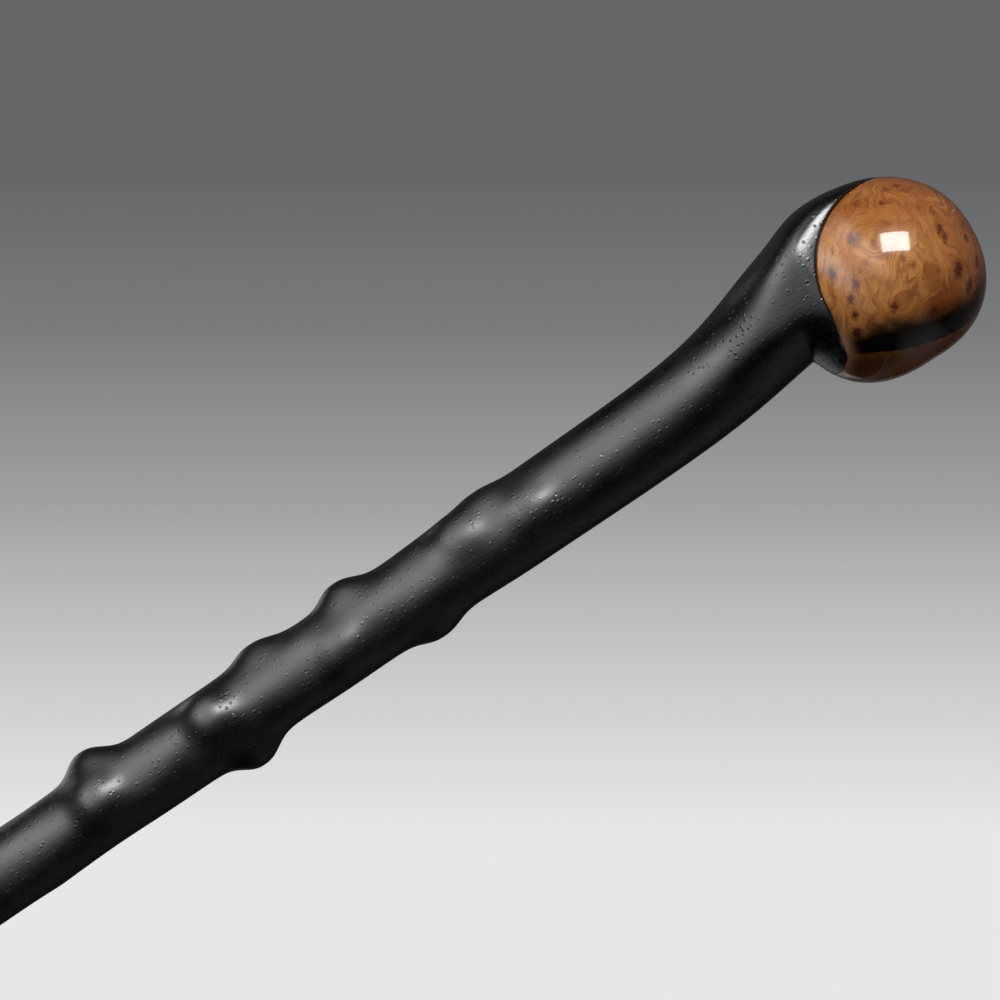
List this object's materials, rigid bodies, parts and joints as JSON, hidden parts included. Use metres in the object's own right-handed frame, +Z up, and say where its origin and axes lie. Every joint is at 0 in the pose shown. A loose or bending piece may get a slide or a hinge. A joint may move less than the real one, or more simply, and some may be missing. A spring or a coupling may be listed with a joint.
{
  "type": "shillelagh walking stick",
  "caption": "Thorn-wood walking stick with a blackened knobbly shaft, a leaning neck, a polished burl knob and a push-on rubber foot over a brass ferrule.",
  "frame": {"origin": "centre of the rubber foot's tread, on the ground", "axes": "+Z up the shaft to the knob, +X the way the knob overhangs the neck, -Y the side that is seen with the knob to the right of the neck"},
  "size_m": [0.0603, 0.0592, 0.939],
  "materials": {
    "black_wood": "satin black lacquer over bark",
    "burl_wood": "polished clear varnish",
    "stud_steel": "plain",
    "ferrule_brass": "turned, lightly tarnished",
    "nail_brass": "plain",
    "foot_rubber": "matte moulded",
    "washer_steel": "zinc plated"
  },
  "bodies": {
    "stick": {"shaft": "black_wood", "burl_cap": "burl_wood", "cap_stud": "stud_steel", "tip_sleeve": "ferrule_brass", "sleeve_pins": "nail_brass"},
    "foot": {"rubber_foot": "foot_rubber", "foot_washer": "washer_steel"}
  },
  "joints": [
    {"name": "foot_pull_off", "type": "slide", "parent": "stick", "child": "foot", "axis": [0, 0, -1], "range_m": [0, 0.045]}
  ]
}
